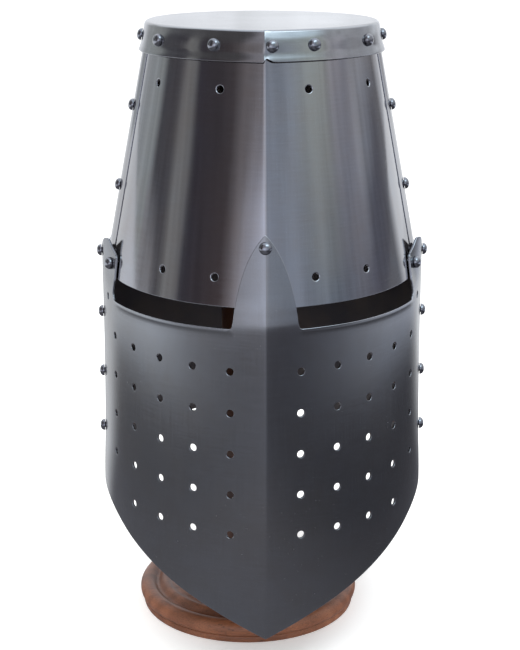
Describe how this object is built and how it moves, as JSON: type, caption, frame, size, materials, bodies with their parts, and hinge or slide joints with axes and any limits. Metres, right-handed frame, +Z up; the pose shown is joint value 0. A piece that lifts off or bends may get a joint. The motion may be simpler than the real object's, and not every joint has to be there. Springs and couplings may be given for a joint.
{
  "type": "great helm on a turned wooden stand",
  "caption": "Flat-topped great helm of riveted blackened steel plates with eye slots, breathing holes and a pointed face plate, resting on a plain turned wooden stand",
  "frame": {"origin": "under the middle of the whole object, on the surface that the stand rests on", "axes": "+Z is up, the face looks along -Y, +X is on the right as seen from the front"},
  "size_m": [0.227, 0.2626, 0.416],
  "materials": {
    "steel_face": "blackened, satin polish",
    "steel_skull": "blackened, bright polish",
    "steel_top": "blackened, cross-brushed",
    "rivet_steel": "blackened, polished",
    "wood": "reddish brown, satin varnish"
  },
  "bodies": {
    "root": {"top_plate": "steel_top", "skull_front": "steel_skull", "skull_back": "steel_skull", "face_plate": "steel_face", "nape_plate": "steel_face", "stand_base": "wood", "stand_post": "wood", "stand_head": "wood", "band_rivet_1": "rivet_steel", "band_rivet_2": "rivet_steel", "band_rivet_3": "rivet_steel", "band_rivet_4": "rivet_steel", "band_rivet_5": "rivet_steel", "band_rivet_6": "rivet_steel", "band_rivet_7": "rivet_steel", "band_rivet_8": "rivet_steel", "band_rivet_9": "rivet_steel", "band_rivet_10": "rivet_steel", "band_rivet_11": "rivet_steel", "band_rivet_12": "rivet_steel", "nasal_rivet": "rivet_steel", "skull_rivet_left_upper": "rivet_steel", "skull_rivet_left_lower": "rivet_steel", "ear_rivet_left": "rivet_steel", "side_rivet_left_1": "rivet_steel", "side_rivet_left_2": "rivet_steel", "side_rivet_left_3": "rivet_steel", "side_rivet_left_4": "rivet_steel", "skull_rivet_right_upper": "rivet_steel", "skull_rivet_right_lower": "rivet_steel", "ear_rivet_right": "rivet_steel", "side_rivet_right_1": "rivet_steel", "side_rivet_right_2": "rivet_steel", "side_rivet_right_3": "rivet_steel", "side_rivet_right_4": "rivet_steel", "nape_rivet_1": "rivet_steel", "nape_rivet_2": "rivet_steel", "nape_rivet_3": "rivet_steel", "nape_rivet_4": "rivet_steel", "nape_rivet_5": "rivet_steel"}
  },
  "joints": []
}
